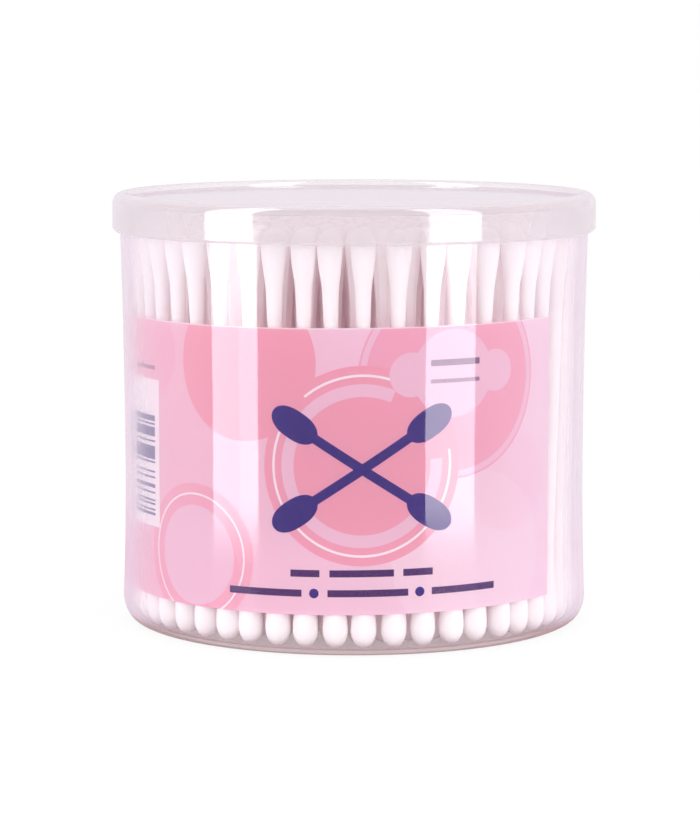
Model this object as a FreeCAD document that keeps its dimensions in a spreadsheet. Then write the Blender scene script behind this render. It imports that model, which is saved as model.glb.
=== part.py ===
import FreeCAD, Part

import math
import os
import random

import Sketcher

# Cotton swab tub: a thin clear cup with a press-on lid, a printed paper strip inside its
# wall, and paper-stick swabs standing on end in concentric rings.
# Millimetres, +Z up, the origin at the centre of the foot ring, +Y away from the viewer
# who sees the printed front.

SIZES = [
    # Cup
    ("tub_base_radius", 42.85, "outer radius just above the bottom corner"),
    ("tub_waist_inset", 0.5, "how far the wall draws in between base and waist"),
    ("tub_waist_height", 27.0, "height of the narrowest place"),
    ("tub_flare", 0.75, "how far the wall opens again between waist and rim"),
    ("tub_height", 76.8, "height of the flat rim that the lid rests on"),
    ("tub_wall", 0.8, "thickness of wall and floor"),
    ("tub_corner", 3.0, "outer radius of the rounded bottom corner"),
    ("foot_ring_width", 2.0, "width of the flat ring that the cup stands on"),
    ("foot_height", 0.4, "how far the floor is raised inside that ring"),
    ("foot_slope", 0.8, "run of the slope from ring to floor"),
    ("rim_height", 1.0, "height of the bead round the rim"),
    ("rim_overhang", 0.2, "how far the bead stands out from the wall"),
    ("rim_round", 0.25, "bevels above and below the bead"),
    # Lid
    ("lid_gap", 0.35, "radial room between bead and skirt"),
    ("lip_gap", 0.15, "radial room between bead and the snap lip"),
    ("lip_height", 1.0, "height of the lip inside the skirt's lower edge"),
    ("lid_wall", 0.7, "thickness of the skirt"),
    ("lid_panel", 1.0, "thickness of the flat top"),
    ("lid_skirt", 5.1, "depth of the skirt below the rim"),
    ("lid_ridge", 1.0, "height of the stacking ridge above the flat top"),
    ("lid_shoulder", 1.95, "outer rounding of the ridge"),
    ("lid_bevel", 0.55, "bevel on the skirt's lower outer edge"),
    # Paper strip
    ("label_height", 50.1, "width of the strip"),
    ("label_bottom", 7.35, "height of its lower edge at the front"),
    ("label_paper", 0.15, "thickness of the paper"),
    ("label_gap", 0.1, "room between wall and paper at the waist"),
    ("label_span", 206.0, "angle that the strip covers"),
    ("label_right_end", 57.0, "angle from the front to the strip's right end"),
    ("label_skew", 0.57, "slant of the strip, higher on the right"),
    # Swab
    ("swab_length", 73.0, "over both cotton tips"),
    ("head_radius", 2.2, "widest radius of the cotton"),
    ("head_centre", 3.6, "from the tip's end to its widest place"),
    ("nose_radius", 1.6, "rounding of the tip's end"),
    ("head_sweep", 16.0, "radius of the curve behind the widest place"),
    ("cotton_length", 16.0, "length of each cotton tip"),
    ("neck_radius", 1.45, "radius of the cotton where it ends"),
    ("stick_radius", 1.25, "radius of the rolled paper stick"),
    ("cotton_cap", 1.5, "cotton in front of the stick's end"),
    ("stick_gap", 0.02, "room between stick and cotton"),
    # Packing
    ("swab_gap", 0.05, "least room round a head, and under it"),
    ("outer_pitch", 5.08, "mean spacing of the swabs round the outer ring"),
    ("inner_pitch", 4.55, "mean spacing of the swabs round the other rings"),
    ("top_spread", 0.5, "how much further out the outer ring's upper heads stand"),
]

# How the swabs happen to stand: the draw of the uneven gaps, how uneven they are below and
# above (0 is even), and where the outer ring starts, in degrees from +X.
PACKING_SEED = 1579
LOWER_CROWDING = 0.5
UPPER_CROWDING = 2.0
OUTER_RING_START = 144.0

# Rings that are sub-parts of their own. The swabs inside them are one more group, the core,
# whether two rings fit in there or three.
OWN_RINGS = 7


def make_sheet(doc):
    """Put the driving dimensions in a spreadsheet, each under its own alias."""
    sheet = doc.addObject("Spreadsheet::Sheet", "Sizes")
    for row, (alias, value, note) in enumerate(SIZES, start=1):
        sheet.set(f"A{row}", note)
        sheet.set(f"B{row}", str(value))
        sheet.setAlias(f"B{row}", alias)
    doc.recompute()
    return sheet


def origin_feature(body, role):
    """Return the plane or axis of the body's own origin that has this role."""
    return next(part for part in body.Origin.OriginFeatures if part.Role == role)


def new_body(doc, name):
    """Add a PartDesign body that carries one sub-part."""
    body = doc.addObject("PartDesign::Body", name)
    body.Label = name
    return body


def new_sketch(body, name):
    """Add a sketch on the body's XZ plane, so that its axes are radius and height."""
    sketch = body.newObject("Sketcher::SketchObject", name)
    sketch.AttachmentSupport = [(origin_feature(body, "XZ_Plane"), "")]
    sketch.MapMode = "FlatFace"
    return sketch


def bind(sketch, index, expression):
    """Tie one dimension of a sketch to the spreadsheet."""
    sketch.setExpression(f"Constraints[{index}]", expression)


def arc_centre(start, end, radius, side):
    """Centre of the arc from start to end; side is +1 where it lies left of the way."""
    chord = end.sub(start)
    middle = (start + end) * 0.5
    reach = math.sqrt(max(radius ** 2 - (chord.Length / 2) ** 2, 0.0))
    left = FreeCAD.Vector(-chord.y, chord.x, 0).normalize()
    return middle + left * (side * reach)


def add_arc(sketch, start, end, radius, side):
    """Add an arc and return its index and which of its ends is the start."""
    centre = arc_centre(start, end, radius, side)
    first, last = (start, end) if side > 0 else (end, start)
    angles = []
    for point in (first, last):
        angles.append(math.atan2(point.y - centre.y, point.x - centre.x))
    if angles[1] < angles[0]:
        angles[1] += 2 * math.pi
    circle = Part.Circle(centre, FreeCAD.Vector(0, 0, 1), radius)
    index = sketch.addGeometry(Part.ArcOfCircle(circle, angles[0], angles[1]), False)
    return index, (1 if side > 0 else 2)


def draw_section(body, name, corners):
    """Sketch a closed half section and bind each corner to the spreadsheet.

    A corner is (radius, height) for a straight edge to the next corner, or
    (radius, height, arc radius, side) for a round one, all but side as expressions.
    """
    sketch = new_sketch(body, name)
    points = []
    for corner in corners:
        x = float(body.evalExpression(corner[0]))
        y = float(body.evalExpression(corner[1]))
        points.append(FreeCAD.Vector(x, y, 0))
    edges = []
    for number, corner in enumerate(corners):
        start = points[number]
        end = points[(number + 1) % len(points)]
        if len(corner) == 2:
            edges.append((sketch.addGeometry(Part.LineSegment(start, end), False), 1))
        else:
            radius = float(body.evalExpression(corner[2]))
            edges.append(add_arc(sketch, start, end, radius, corner[3]))
    for number, corner in enumerate(corners):
        edge, first = edges[number]
        previous, previous_first = edges[number - 1]
        last_of_previous = 3 - previous_first
        sketch.addConstraint(
            Sketcher.Constraint("Coincident", previous, last_of_previous, edge, first))
        if corner[0] == "0":
            sketch.addConstraint(Sketcher.Constraint("PointOnObject", edge, first, -2))
        else:
            index = sketch.addConstraint(
                Sketcher.Constraint("DistanceX", -1, 1, edge, first, points[number].x))
            bind(sketch, index, corner[0])
        if corner[1] == "0":
            sketch.addConstraint(Sketcher.Constraint("PointOnObject", edge, first, -1))
        else:
            index = sketch.addConstraint(
                Sketcher.Constraint("DistanceY", -1, 1, edge, first, points[number].y))
            bind(sketch, index, corner[1])
        if len(corner) > 2:
            index = sketch.addConstraint(
                Sketcher.Constraint("Radius", edge, float(body.evalExpression(corner[2]))))
            bind(sketch, index, corner[2])
    return sketch


def turn(body, sketch, name):
    """Revolve a half section once round the body's upright axis."""
    revolution = body.newObject("PartDesign::Revolution", name)
    revolution.Profile = sketch
    revolution.ReferenceAxis = (sketch, ["V_Axis"])
    revolution.Angle = 360.0
    return revolution


def sweep_radius(height, depth):
    """Expression for the arc that leaves the waist upright and moves out by depth."""
    return f"(({height})^2 + ({depth})^2) / (2 * ({depth}))"


WAIST = "Sizes.tub_base_radius - Sizes.tub_waist_inset"
MOUTH = f"{WAIST} + Sizes.tub_flare"
BEAD = f"{MOUTH} + Sizes.rim_overhang"
LABEL_OUTSIDE = f"{WAIST} - Sizes.tub_wall - Sizes.label_gap"


def make_tub(doc):
    """The cup: foot ring, rounded corner, slightly waisted wall and a beaded rim."""
    body = new_body(doc, "tub")
    wall = "Sizes.tub_wall"
    base = "Sizes.tub_base_radius"
    foot_outer = f"{base} - Sizes.tub_corner"
    foot_inner = f"{foot_outer} - Sizes.foot_ring_width"
    floor_edge = f"{foot_inner} - Sizes.foot_slope"
    bead_bottom = "Sizes.tub_height - Sizes.rim_height"
    wall_top = f"{bead_bottom} - Sizes.rim_round"
    lower_sweep = sweep_radius("Sizes.tub_waist_height - Sizes.tub_corner",
                               "Sizes.tub_waist_inset")
    upper_sweep = sweep_radius(f"{wall_top} - Sizes.tub_waist_height", "Sizes.tub_flare")
    corners = [
        ("0", "Sizes.foot_height"),
        (floor_edge, "Sizes.foot_height"),
        (foot_inner, "0"),
        (foot_outer, "0", "Sizes.tub_corner", 1),
        (base, "Sizes.tub_corner", lower_sweep, -1),
        (WAIST, "Sizes.tub_waist_height", upper_sweep, -1),
        (MOUTH, wall_top),
        (BEAD, bead_bottom),
        (BEAD, "Sizes.tub_height - Sizes.rim_round"),
        (f"{BEAD} - Sizes.rim_round", "Sizes.tub_height"),
        (f"{MOUTH} - {wall}", "Sizes.tub_height"),
        (f"{MOUTH} - {wall}", wall_top, upper_sweep, 1),
        (f"{WAIST} - {wall}", "Sizes.tub_waist_height", lower_sweep, 1),
        (f"{base} - {wall}", "Sizes.tub_corner", f"Sizes.tub_corner - {wall}", -1),
        (foot_outer, wall),
        (foot_inner, wall),
        (floor_edge, f"Sizes.foot_height + {wall}"),
        ("0", f"Sizes.foot_height + {wall}"),
    ]
    turn(body, draw_section(body, "tub_section", corners), "tub_turned")
    return body


def make_lid(doc):
    """The lid: a flat top inside a rounded stacking ridge, and a skirt with a snap lip."""
    body = new_body(doc, "lid")
    seat = "Sizes.tub_height"
    skirt_inner = f"{BEAD} + Sizes.lid_gap"
    skirt_outer = f"{skirt_inner} + Sizes.lid_wall"
    lip_inner = f"{BEAD} + Sizes.lip_gap"
    skirt_bottom = f"{seat} - Sizes.lid_skirt"
    lip_top = f"{skirt_bottom} + Sizes.lip_height"
    panel_top = f"{seat} + Sizes.lid_panel"
    top = f"{panel_top} + Sizes.lid_ridge"
    crest = f"{skirt_outer} - Sizes.lid_shoulder"
    corners = [
        ("0", seat),
        (skirt_inner, seat),
        (skirt_inner, f"{lip_top} + Sizes.lid_gap"),
        (lip_inner, lip_top),
        (lip_inner, skirt_bottom),
        (f"{skirt_outer} - Sizes.lid_bevel", skirt_bottom),
        (skirt_outer, f"{skirt_bottom} + Sizes.lid_bevel"),
        (skirt_outer, f"{top} - Sizes.lid_shoulder", "Sizes.lid_shoulder", 1),
        (crest, top, "Sizes.lid_ridge", 1),
        (f"{crest} - Sizes.lid_ridge", panel_top),
        ("0", panel_top),
    ]
    turn(body, draw_section(body, "lid_section", corners), "lid_turned")
    return body


def make_label(doc):
    """The printed strip: a thin sector of tube between two slanted parallel cuts."""
    span = "Sizes.label_span"
    start = f"Sizes.label_right_end - 90 - {span}"
    reach = f"4 * ({LABEL_OUTSIDE})"
    tubes = []
    for name, radius in (("paper_outside", LABEL_OUTSIDE),
                         ("paper_inside", f"{LABEL_OUTSIDE} - Sizes.label_paper")):
        tube = doc.addObject("Part::Cylinder", name)
        tube.setExpression("Radius", radius)
        tube.setExpression("Height", "2 * Sizes.label_bottom + Sizes.label_height")
        tubes.append(tube)
    tubes[0].setExpression("Angle", span)
    tubes[0].setExpression("Placement.Rotation.Angle", start)
    ring = doc.addObject("Part::Cut", "paper_ring")
    ring.Base = tubes[0]
    ring.Tool = tubes[1]
    slab = doc.addObject("Part::Box", "slanted_band")
    slab.setExpression("Length", reach)
    slab.setExpression("Width", reach)
    slab.setExpression("Height", "Sizes.label_height")
    slab.Placement.Rotation = FreeCAD.Rotation(FreeCAD.Vector(0, -1, 0), 1)
    slab.setExpression("Placement.Rotation.Angle", "Sizes.label_skew")
    slab.setExpression("Placement.Base.x", f"-({reach}) / 2 * cos(Sizes.label_skew)")
    slab.setExpression("Placement.Base.y", f"-({reach}) / 2")
    slab.setExpression(
        "Placement.Base.z", f"Sizes.label_bottom - ({reach}) / 2 * sin(Sizes.label_skew)")
    label = doc.addObject("Part::Common", "label")
    label.Base = ring
    label.Tool = slab
    label.Label = "label"
    return label


def make_stick_master(doc):
    """One rolled paper stick, upright, with the swab's lower end at the origin."""
    stick = doc.addObject("Part::Cylinder", "stick_master")
    stick.setExpression("Radius", "Sizes.stick_radius")
    stick.setExpression("Height", "Sizes.swab_length - 2 * Sizes.cotton_cap")
    stick.setExpression("Placement.Base.z", "Sizes.cotton_cap")
    return stick


def make_tip_master(doc):
    """One cotton tip, its end at the origin, wound round a blind bore for the stick."""
    body = new_body(doc, "tip_master")
    sketch = new_sketch(body, "tip_section")
    size = {alias: float(body.evalExpression(f"Sizes.{alias}")) for alias, _, _ in SIZES}
    # nose_end and sweep_end are first guesses, which the tangent constraints move.
    head = FreeCAD.Vector(size["head_radius"], size["head_centre"], 0)
    nose_end = FreeCAD.Vector(size["nose_radius"] * 0.8, size["nose_radius"] * 0.4, 0)
    neck = FreeCAD.Vector(size["neck_radius"], size["cotton_length"], 0)
    sweep_end = head + FreeCAD.Vector(-0.1, 2.0, 0)
    bore = size["stick_radius"] + size["stick_gap"]
    bore_end = size["cotton_cap"] - size["stick_gap"]
    nose, _ = add_arc(sketch, FreeCAD.Vector(0, 0, 0), nose_end, size["nose_radius"], 1)
    cheek, _ = add_arc(sketch, nose_end, head, 2 * head.Length, 1)
    sweep, _ = add_arc(sketch, head, sweep_end, size["head_sweep"], 1)
    outline = [sweep_end, neck, FreeCAD.Vector(bore, neck.y, 0),
               FreeCAD.Vector(bore, bore_end, 0), FreeCAD.Vector(0, bore_end, 0),
               FreeCAD.Vector(0, 0, 0)]
    lines = []
    for start, end in zip(outline, outline[1:]):
        lines.append(sketch.addGeometry(Part.LineSegment(start, end), False))
    taper, mouth, side, bottom, axis = lines
    for first, second in ((sweep, taper), (nose, cheek)):
        sketch.addConstraint(Sketcher.Constraint("Tangent", first, 2, second, 1))
    for first, second in ((cheek, sweep), (taper, mouth), (mouth, side), (side, bottom),
                          (bottom, axis), (axis, nose)):
        sketch.addConstraint(Sketcher.Constraint("Coincident", first, 2, second, 1))
    sketch.addConstraint(Sketcher.Constraint("Coincident", nose, 1, -1, 1))
    sketch.addConstraint(Sketcher.Constraint("PointOnObject", nose, 3, -2))
    sketch.addConstraint(Sketcher.Constraint("PointOnObject", bottom, 2, -2))
    sketch.addConstraint(Sketcher.Constraint("Horizontal", mouth))
    sketch.addConstraint(Sketcher.Constraint("Vertical", side))
    sketch.addConstraint(Sketcher.Constraint("Horizontal", bottom))
    dimensions = [
        ("Radius", (nose,), "Sizes.nose_radius"),
        ("Radius", (sweep,), "Sizes.head_sweep"),
        ("DistanceX", (-1, 1, sweep, 1), "Sizes.head_radius"),
        ("DistanceY", (-1, 1, sweep, 1), "Sizes.head_centre"),
        ("DistanceY", (-1, 1, sweep, 3), "Sizes.head_centre"),
        ("DistanceY", (-1, 1, cheek, 3), "Sizes.head_centre"),
        ("DistanceX", (-1, 1, mouth, 1), "Sizes.neck_radius"),
        ("DistanceY", (-1, 1, mouth, 1), "Sizes.cotton_length"),
        ("DistanceX", (-1, 1, side, 1), "Sizes.stick_radius + Sizes.stick_gap"),
        ("DistanceY", (-1, 1, side, 2), "Sizes.cotton_cap - Sizes.stick_gap"),
    ]
    for kind, places, expression in dimensions:
        value = float(body.evalExpression(expression))
        index = sketch.addConstraint(Sketcher.Constraint(kind, *places, value))
        bind(sketch, index, expression)
    turn(body, sketch, "tip_turned")
    return body


def ring_angles(count, radius, spacing, crowding, draw):
    """Angles of a ring's swabs, with the room left over shared out unevenly."""
    least = 2 * math.asin(min(spacing / (2 * radius), 1.0))
    spare = 2 * math.pi - count * least
    shares = [draw.random() ** crowding for _ in range(count)]
    angles = []
    angle = 0.0
    for share in shares:
        angles.append(angle)
        angle += least + spare * share / sum(shares)
    return angles


def swab_axes(sizes, radius, pitch, start, draw):
    """Lower and upper end of each swab in one ring, leaning only as far as it has room."""
    spacing = 2 * sizes.head_radius + sizes.swab_gap
    top_radius = radius * (1 + sizes.top_spread / outer_ring_radius(sizes))
    count = min(int(math.pi / math.asin(spacing / (2 * radius))),
                int(2 * math.pi * radius / pitch))
    bottoms = ring_angles(count, radius, spacing, LOWER_CROWDING, draw)
    tops = ring_angles(count, top_radius, spacing, UPPER_CROWDING, draw)
    turn_back = sum(top - bottom for top, bottom in zip(tops, bottoms)) / count
    floor = sizes.foot_height + sizes.tub_wall + sizes.swab_gap
    axes = []
    for bottom, top in zip(bottoms, tops):
        lower = FreeCAD.Vector(radius * math.cos(start + bottom),
                               radius * math.sin(start + bottom), floor)
        upper = FreeCAD.Vector(top_radius * math.cos(start + top - turn_back),
                               top_radius * math.sin(start + top - turn_back),
                               floor + sizes.swab_length)
        axes.append((lower, upper))
    return axes


def outer_ring_radius(sizes):
    """Radius of the outer ring of swabs, which stands just inside the paper."""
    paper_inside = (sizes.tub_base_radius - sizes.tub_waist_inset - sizes.tub_wall
                    - sizes.label_gap - sizes.label_paper)
    return paper_inside - 2 * sizes.swab_gap - sizes.head_radius


def packing(sizes):
    """Swab axes ring by ring, from the wall to the middle."""
    draw = random.Random(PACKING_SEED)
    spacing = 2 * sizes.head_radius + sizes.swab_gap
    radius = outer_ring_radius(sizes)
    rings = []
    pitch = sizes.outer_pitch
    start = math.radians(OUTER_RING_START)
    while radius > spacing / 2:
        rings.append(swab_axes(sizes, radius, pitch, start, draw))
        radius -= spacing
        pitch = sizes.inner_pitch
        start = 2 * math.pi * draw.random()
    return rings


def place_on_axis(shape, start, direction):
    """Copy a shape from the origin to start, with its +Z turned to direction."""
    rotation = FreeCAD.Rotation(FreeCAD.Vector(0, 0, 1), direction)
    copy = shape.copy()
    copy.Placement = FreeCAD.Placement(start, rotation).multiply(shape.Placement)
    return copy


def add_group(doc, name, solids):
    """Add one sub-part that holds several separate solids of the same kind."""
    group = doc.addObject("Part::Feature", name)
    group.Shape = Part.makeCompound(solids)
    group.Label = name
    return group


def make_swabs(doc, sizes, stick, tip):
    """Stand the swabs in their rings: sticks, lower tips and upper tips of each group."""
    rings = packing(sizes)
    stands = [(f"ring_{number}", axes) for number, axes in enumerate(rings[:OWN_RINGS], start=1)]
    stands.append(("core", [axis for axes in rings[OWN_RINGS:] for axis in axes]))
    groups = []
    for name, axes in stands:
        sticks = []
        lower_tips = []
        upper_tips = []
        for lower, upper in axes:
            along = (upper - lower).normalize()
            end = lower + along * sizes.swab_length
            sticks.append(place_on_axis(stick.Shape, lower, along))
            lower_tips.append(place_on_axis(tip.Shape, lower, along))
            upper_tips.append(place_on_axis(tip.Shape, end, along * -1))
        groups.append(add_group(doc, f"sticks_{name}", sticks))
        groups.append(add_group(doc, f"lower_tips_{name}", lower_tips))
        groups.append(add_group(doc, f"upper_tips_{name}", upper_tips))
    return groups


def check_document(doc):
    """Stop if any object of the document failed to build."""
    for item in doc.Objects:
        if {"Invalid", "Error"} & set(item.State):
            raise RuntimeError(f"{item.Name} failed: {item.State}")


def write_parts(parts):
    """Check each sub-part's shape and write it to its own file."""
    os.makedirs("parts", exist_ok=True)
    for part in parts:
        shape = part.Shape
        if shape.isNull() or not shape.isValid():
            raise RuntimeError(f"{part.Label} has no valid shape")
        shape.exportStep(f"parts/{part.Label}.step")
        print(f"{part.Label}: {len(shape.Solids)} solids, {shape.Volume:.1f} mm3")


def main():
    """Build the document, check it and write the sub-parts."""
    doc = FreeCAD.newDocument("cotton_swab_tub")
    sheet = make_sheet(doc)
    tub = make_tub(doc)
    lid = make_lid(doc)
    label = make_label(doc)
    stick = make_stick_master(doc)
    tip = make_tip_master(doc)
    doc.recompute()
    swabs = make_swabs(doc, sheet, stick, tip)
    doc.recompute()
    check_document(doc)
    write_parts([tub, lid, label] + swabs)


main()
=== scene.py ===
"""Dresses a cotton swab tub: clear cup, milky lid, printed strip and the swabs inside."""
import logging
import math
import random
from dataclasses import dataclass
from enum import Enum

import bmesh
import bpy
from mathutils import Matrix, Vector, noise


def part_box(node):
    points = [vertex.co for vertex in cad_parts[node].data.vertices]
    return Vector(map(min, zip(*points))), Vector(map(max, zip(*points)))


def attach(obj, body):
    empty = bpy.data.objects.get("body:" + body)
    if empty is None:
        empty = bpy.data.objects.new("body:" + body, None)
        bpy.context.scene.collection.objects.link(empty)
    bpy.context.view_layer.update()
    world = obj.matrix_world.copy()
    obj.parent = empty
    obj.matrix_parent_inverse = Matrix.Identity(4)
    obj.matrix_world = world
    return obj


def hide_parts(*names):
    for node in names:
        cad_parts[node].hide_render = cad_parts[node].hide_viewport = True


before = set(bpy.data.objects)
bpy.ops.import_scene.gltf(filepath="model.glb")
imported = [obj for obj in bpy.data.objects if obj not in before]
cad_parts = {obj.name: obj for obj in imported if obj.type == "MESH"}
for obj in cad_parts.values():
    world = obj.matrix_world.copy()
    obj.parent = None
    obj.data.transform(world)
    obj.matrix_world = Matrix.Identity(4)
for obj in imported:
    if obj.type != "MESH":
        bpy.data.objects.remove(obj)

log = logging.getLogger("swab_tub")

MM = 0.001
CUP_BODY = "tub_body"
LID_BODY = "lid_body"
TURN_STEPS = 144
ROUND_STEPS = 8
WALL_STEPS = 24
SPIN_MERGE = 1e-7
STICK_MERGE = 1e-6
STRIP_UV_MM = 100.0
SHARP_ANGLE = math.radians(40.0)
FULL_TURN = 2 * math.pi
PURE_WHITE = (1.0, 1.0, 1.0, 1.0)
# The Mix node's two inputs and its output, for colours and for numbers.
MIX_SOCKETS = {"RGBA": (6, 7, 2), "FLOAT": (2, 3, 0)}
Colour = tuple[float, float, float]
Spot = tuple[float, float]
Outline = list[Spot]
Node = bpy.types.Node
Socket = bpy.types.NodeSocket


class Shade(Enum):
    """The print's colours, as they are written for sRGB."""

    GROUND = (0.970, 0.865, 0.930)
    GROUND_DEEP = (0.962, 0.772, 0.852)
    ROSE = (0.960, 0.672, 0.760)
    ROSE_SOFT = (0.962, 0.700, 0.795)
    BLUSH = (0.955, 0.800, 0.880)
    WHITE = (0.990, 0.965, 0.985)
    NAVY = (0.165, 0.120, 0.520)
    PLUM = (0.270, 0.140, 0.420)


def linear(colour: Colour) -> tuple[float, float, float, float]:
    """Turn an sRGB colour into the linear one that a shader socket takes.

    Args:
        colour: Red, green and blue from 0 to 1, as seen on a screen.

    Returns:
        The linear colour with an alpha of 1.
    """
    channels = []
    for value in colour:
        if value <= 0.04045:
            channels.append(value / 12.92)
        else:
            channels.append(((value + 0.055) / 1.055) ** 2.4)
    return channels[0], channels[1], channels[2], 1.0


class NodeBench:
    """A material's or a world's node tree, with short ways to add and join nodes."""

    def __init__(self, name: str, world: bool = False) -> None:
        """Start an empty material or world.

        Args:
            name: Its name.
            world: Whether it is a world.
        """
        self.owner = bpy.data.worlds.new(name) if world else bpy.data.materials.new(name)
        self.owner.use_nodes = True
        self.tree = self.owner.node_tree
        self.tree.nodes.clear()
        self.output = self.add("ShaderNodeOutputWorld" if world else "ShaderNodeOutputMaterial")

    def add(self, kind: str, **settings: object) -> Node:
        """Add a node and set its properties.

        Args:
            kind: The node's type name.
            **settings: Properties of the node.

        Returns:
            The new node.
        """
        node = self.tree.nodes.new(kind)
        for key, value in settings.items():
            setattr(node, key, value)
        return node

    def join(self, source: Socket, target: Socket) -> None:
        """Link one socket to another."""
        self.tree.links.new(source, target)

    def feed(self, value: object, target: Socket) -> None:
        """Link a socket, or set a plain value.

        Args:
            value: A socket, or a number, colour or vector.
            target: The input that takes it.
        """
        if isinstance(value, Socket):
            self.join(value, target)
        else:
            target.default_value = value

    def math(self, operation: str, *values: object) -> Socket:
        """Add a Math node.

        Args:
            operation: Such as MULTIPLY or COMPARE.
            *values: Sockets or numbers for its inputs, in order.

        Returns:
            The result's socket.
        """
        node = self.add("ShaderNodeMath", operation=operation)
        for number, value in enumerate(values):
            self.feed(value, node.inputs[number])
        return node.outputs[0]

    def mix_shader(self, share: object, under: Socket, over: Socket) -> Socket:
        """Mix two shaders.

        Args:
            share: Socket or number; 1 gives only the second shader.
            under: The first shader.
            over: The second shader.

        Returns:
            The mixed shader.
        """
        node = self.add("ShaderNodeMixShader")
        self.feed(share, node.inputs[0])
        self.join(under, node.inputs[1])
        self.join(over, node.inputs[2])
        return node.outputs[0]

    def mix(self, share: object, under: object, over: object, kind: str = "RGBA") -> Socket:
        """Mix two colours or numbers.

        Args:
            share: Socket or number; 1 gives only the second value.
            under: The first value, or its socket.
            over: The second value, or its socket.
            kind: RGBA for colours, FLOAT for numbers.

        Returns:
            The mixed value.
        """
        node = self.add("ShaderNodeMix", data_type=kind)
        first, second, mixed = MIX_SOCKETS[kind]
        self.feed(share, node.inputs[0])
        self.feed(under, node.inputs[first])
        self.feed(over, node.inputs[second])
        return node.outputs[mixed]

    def noise(self, scale: float, detail: float, vector: Socket, roughness: float = 0.5) -> Socket:
        """Add a noise texture.

        Args:
            scale: How fine it is.
            detail: How many finer layers it has.
            vector: The coordinates that it follows.
            roughness: Strength of the finer layers.

        Returns:
            The noise, about 0 to 1.
        """
        node = self.add("ShaderNodeTexNoise")
        node.inputs["Scale"].default_value = scale
        node.inputs["Detail"].default_value = detail
        node.inputs["Roughness"].default_value = roughness
        self.join(vector, node.inputs["Vector"])
        return node.outputs[0]

    def place(self) -> Socket:
        """Return the Object coordinates."""
        return self.add("ShaderNodeTexCoord").outputs["Object"]

    def height(self, place: Socket) -> Socket:
        """Read how high a place is.

        Args:
            place: Object coordinates.

        Returns:
            The height, in metres.
        """
        split = self.add("ShaderNodeSeparateXYZ")
        self.join(place, split.inputs[0])
        return split.outputs["Z"]

    def fade_down(self, place: Socket, top: float) -> Socket:
        """Share that grows downwards, from a height to half of it.

        Args:
            place: Object coordinates.
            top: Height where the share is still 0, in metres.

        Returns:
            The share, 1 from half that height down.
        """
        ramp = self.add("ShaderNodeMapRange", interpolation_type="SMOOTHSTEP")
        self.join(self.height(place), ramp.inputs["Value"])
        ramp.inputs["From Min"].default_value = top
        ramp.inputs["From Max"].default_value = 0.5 * top
        return ramp.outputs[0]

    def bump(self, height: Socket, strength: float, distance: float) -> Socket:
        """Add a bump from a height.

        Args:
            height: Socket that holds the height, 0 to 1.
            strength: Share of the bump that shows.
            distance: Height of a full step, in metres.

        Returns:
            The bumped normal.
        """
        node = self.add("ShaderNodeBump")
        node.inputs["Strength"].default_value = strength
        node.inputs["Distance"].default_value = distance
        self.join(height, node.inputs["Height"])
        return node.outputs[0]

    def finish(self, surface: Socket) -> bpy.types.ID:
        """Join the surface to the output and return the material or world."""
        self.join(surface, self.output.inputs["Surface"])
        return self.owner


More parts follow.
